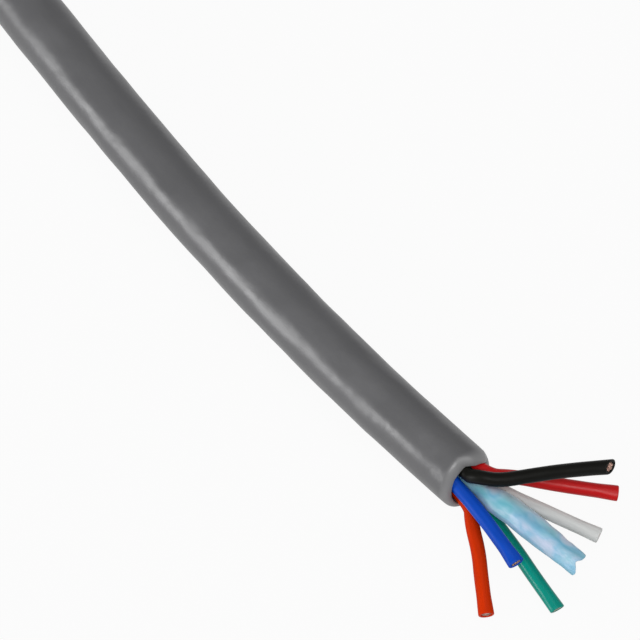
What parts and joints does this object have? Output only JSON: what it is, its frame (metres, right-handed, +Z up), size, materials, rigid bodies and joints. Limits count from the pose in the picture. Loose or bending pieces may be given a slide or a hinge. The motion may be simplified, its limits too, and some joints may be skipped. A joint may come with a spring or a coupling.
{
  "type": "multiconductor cable",
  "caption": "Cut length of round grey multiconductor cable, gently bowed, with one end stripped so that its coloured insulated wires and a strip of film fan out.",
  "frame": {"origin": "middle of the cable's bounding box, on the surface that it lies on", "axes": "+X from the plain end to the stripped end, +Z up from the surface, +Y completes the right hand"},
  "size_m": [0.106, 0.0207, 0.0112],
  "materials": {
    "jacket": "satin grey PVC",
    "film": "pale blue translucent polyester film",
    "copper": "bare copper",
    "insulation_black": "glossy PVC",
    "insulation_blue": "glossy PVC",
    "insulation_orange": "glossy PVC",
    "insulation_green": "glossy PVC",
    "insulation_white": "glossy PVC",
    "insulation_red": "glossy PVC"
  },
  "bodies": {
    "root": {"outer_jacket": "jacket", "film_filler": "film", "black_insulation": "insulation_black", "black_strand_1": "copper", "black_strand_2": "copper", "black_strand_3": "copper", "black_strand_4": "copper", "black_strand_5": "copper", "black_strand_6": "copper", "black_strand_7": "copper", "blue_insulation": "insulation_blue", "blue_strand_1": "copper", "blue_strand_2": "copper", "blue_strand_3": "copper", "blue_strand_4": "copper", "blue_strand_5": "copper", "blue_strand_6": "copper", "blue_strand_7": "copper", "orange_insulation": "insulation_orange", "orange_strand_1": "copper", "orange_strand_2": "copper", "orange_strand_3": "copper", "orange_strand_4": "copper", "orange_strand_5": "copper", "orange_strand_6": "copper", "orange_strand_7": "copper", "green_insulation": "insulation_green", "green_strand_1": "copper", "green_strand_2": "copper", "green_strand_3": "copper", "green_strand_4": "copper", "green_strand_5": "copper", "green_strand_6": "copper", "green_strand_7": "copper", "white_insulation": "insulation_white", "white_strand_1": "copper", "white_strand_2": "copper", "white_strand_3": "copper", "white_strand_4": "copper", "white_strand_5": "copper", "white_strand_6": "copper", "white_strand_7": "copper", "red_insulation": "insulation_red", "red_strand_1": "copper", "red_strand_2": "copper", "red_strand_3": "copper", "red_strand_4": "copper", "red_strand_5": "copper", "red_strand_6": "copper", "red_strand_7": "copper"}
  },
  "joints": []
}
